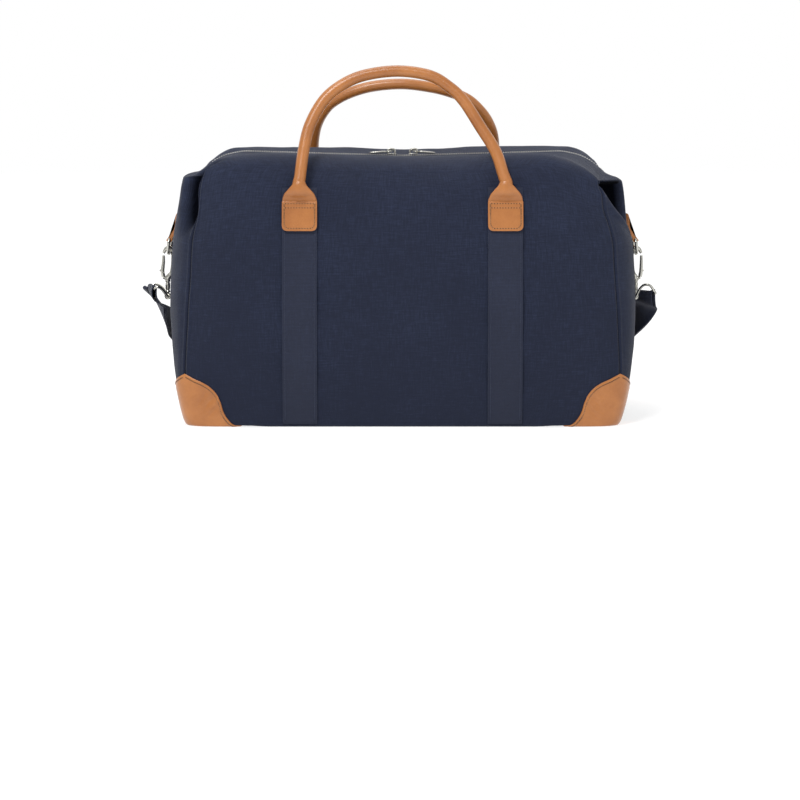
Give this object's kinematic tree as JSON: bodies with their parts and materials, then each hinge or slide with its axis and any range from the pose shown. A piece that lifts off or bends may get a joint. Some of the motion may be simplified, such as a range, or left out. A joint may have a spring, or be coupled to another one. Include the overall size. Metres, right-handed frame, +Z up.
{
  "type": "weekender bag",
  "caption": "Soft canvas weekender bag with a zipped top, rolled leather handles, leather corners and a shoulder strap clipped to a D-ring at each end.",
  "frame": {"origin": "centre of the base, on the ground", "axes": "+X to the right along the bag's length seen from the front, front towards -Y, +Z up"},
  "size_m": [0.5817, 0.281, 0.3983],
  "materials": {
    "canvas": "matte navy canvas",
    "webbing": "ribbed navy webbing",
    "lining": "plain woven lining",
    "leather": "smooth tan leather",
    "core": "twisted cotton cord",
    "board": "plain board",
    "nickel": "satin nickel"
  },
  "bodies": {
    "root": {"front_panel": "canvas", "back_panel": "canvas", "end_panel_left": "canvas", "end_panel_right": "canvas", "base_panel": "canvas", "base_board": "board", "lining": "lining", "lining_pocket": "lining", "webbing_front_left": "webbing", "webbing_front_right": "webbing", "webbing_back_left": "webbing", "webbing_back_right": "webbing", "corner_front_left": "leather", "corner_front_right": "leather", "corner_back_left": "leather", "corner_back_right": "leather", "handle_tab_front_left": "leather", "handle_tab_front_right": "leather", "handle_tab_back_left": "leather", "handle_tab_back_right": "leather", "end_tab_left": "leather", "end_tab_right": "leather", "zip_tape_front": "webbing", "zip_tape_back": "webbing", "zip_teeth_front": "nickel", "zip_teeth_back": "nickel", "shoulder_strap": "webbing"},
    "handle_front": {"handle_front": "leather", "handle_core_front": "core"},
    "handle_back": {"handle_back": "leather", "handle_core_back": "core"},
    "strap_adjuster": {"strap_adjuster": "nickel"},
    "slider_left": {"slider_left": "nickel"},
    "pull_left": {"zip_pull_left": "nickel"},
    "d_ring_left": {"d_ring_left": "nickel", "swivel_eye_left": "nickel", "strap_loop_left": "nickel"},
    "hook_left": {"snap_hook_left": "nickel"},
    "gate_left": {"hook_gate_left": "nickel"},
    "slider_right": {"slider_right": "nickel"},
    "pull_right": {"zip_pull_right": "nickel"},
    "d_ring_right": {"d_ring_right": "nickel", "swivel_eye_right": "nickel", "strap_loop_right": "nickel"},
    "hook_right": {"snap_hook_right": "nickel"},
    "gate_right": {"hook_gate_right": "nickel"}
  },
  "joints": [
    {"name": "handle_front_fold", "type": "hinge", "parent": "root", "child": "handle_front", "pos_m": [0, -0.126, 0.258], "axis": [1, 0, 0], "range_deg": [-10, 162]},
    {"name": "handle_back_fold", "type": "hinge", "parent": "root", "child": "handle_back", "pos_m": [0, 0.126, 0.258], "axis": [-1, 0, 0], "range_deg": [-1, 172]},
    {"name": "slider_left_run", "type": "slide", "parent": "root", "child": "slider_left", "axis": [-0.9996, 0, 0.0289], "range_m": [0, 0.168], "deforming": ["zip_teeth_front", "zip_teeth_back"]},
    {"name": "pull_left_flip", "type": "hinge", "parent": "slider_left", "child": "pull_left", "pos_m": [-0.01385, 0, 0.3025], "axis": [0, 1, 0], "range_deg": [0, 118]},
    {"name": "d_ring_left_swing", "type": "hinge", "parent": "root", "child": "d_ring_left", "pos_m": [-0.2672, 0, 0.2035], "axis": [0, 1, 0], "range_deg": [-2, 35], "deforming": ["shoulder_strap"]},
    {"name": "hook_left_swivel", "type": "hinge", "parent": "d_ring_left", "child": "hook_left", "pos_m": [-0.2715, 0, 0.156], "axis": [0, 0, 1], "range_deg": [-12, 12]},
    {"name": "gate_left_open", "type": "hinge", "parent": "hook_left", "child": "gate_left", "pos_m": [-0.2765, 0, 0.1575], "axis": [0, 1, 0], "range_deg": [0, 12], "stiffness_Nm_per_rad": 0.02},
    {"name": "slider_right_run", "type": "slide", "parent": "root", "child": "slider_right", "axis": [0.9996, 0, 0.0289], "range_m": [0, 0.168], "deforming": ["zip_teeth_front", "zip_teeth_back"]},
    {"name": "pull_right_flip", "type": "hinge", "parent": "slider_right", "child": "pull_right", "pos_m": [0.01385, 0, 0.3025], "axis": [0, -1, 0], "range_deg": [0, 118]},
    {"name": "d_ring_right_swing", "type": "hinge", "parent": "root", "child": "d_ring_right", "pos_m": [0.2672, 0, 0.2035], "axis": [0, -1, 0], "range_deg": [-2, 35], "deforming": ["shoulder_strap"]},
    {"name": "hook_right_swivel", "type": "hinge", "parent": "d_ring_right", "child": "hook_right", "pos_m": [0.27, 0, 0.156], "axis": [0, 0, 1], "range_deg": [-12, 12]},
    {"name": "gate_right_open", "type": "hinge", "parent": "hook_right", "child": "gate_right", "pos_m": [0.275, 0, 0.1575], "axis": [0, -1, 0], "range_deg": [0, 12], "stiffness_Nm_per_rad": 0.02},
    {"name": "adjuster_slide", "type": "slide", "parent": "root", "child": "strap_adjuster", "axis": [-0.0499, 0.799, -0.5993], "range_m": [-0.012, 0.012]}
  ]
}
